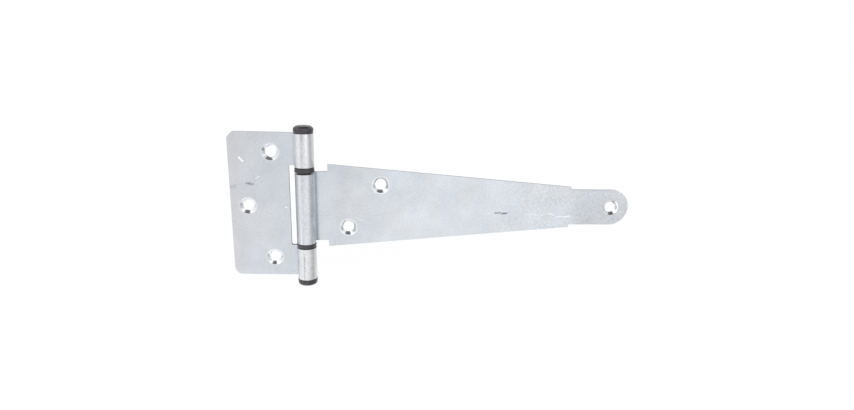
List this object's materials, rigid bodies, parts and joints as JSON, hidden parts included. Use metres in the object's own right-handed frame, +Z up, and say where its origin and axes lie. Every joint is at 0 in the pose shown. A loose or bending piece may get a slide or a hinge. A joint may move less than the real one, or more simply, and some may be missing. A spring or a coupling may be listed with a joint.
{
  "type": "tee hinge",
  "caption": "Tee hinge: a short plate leaf with a window and a long tapered strap leaf, both rolled sheet steel, turning on a pin lined and capped with black plastic.",
  "frame": {"origin": "on the back of the frame leaf, midway between its upper and lower screw holes", "axes": "+X along the strap from the frame leaf towards the tip; +Y out of the leaves' backs into the wall or gate; +Z up, parallel to the pin"},
  "size_m": [0.2445, 0.0117, 0.0971],
  "materials": {
    "zinc_frame_leaf": "bright zinc plating, satin, slightly bluish, lightly scratched",
    "zinc_strap_leaf": "bright zinc plating, satin and faintly mottled, lightly scratched",
    "pin_steel": "smooth drawn steel",
    "black_plastic": "moulded black plastic, satin"
  },
  "bodies": {
    "frame_side": {"frame_leaf": "zinc_frame_leaf", "hinge_pin": "pin_steel", "top_cap": "black_plastic", "bottom_cap": "black_plastic"},
    "strap_side": {"strap_leaf": "zinc_strap_leaf", "upper_bush": "black_plastic", "lower_bush": "black_plastic"}
  },
  "joints": [
    {"name": "strap_swing", "type": "hinge", "parent": "frame_side", "child": "strap_side", "pos_m": [0.02, -0.00575, 0], "axis": [0, 0, -1], "range_deg": [-117, 189]}
  ]
}
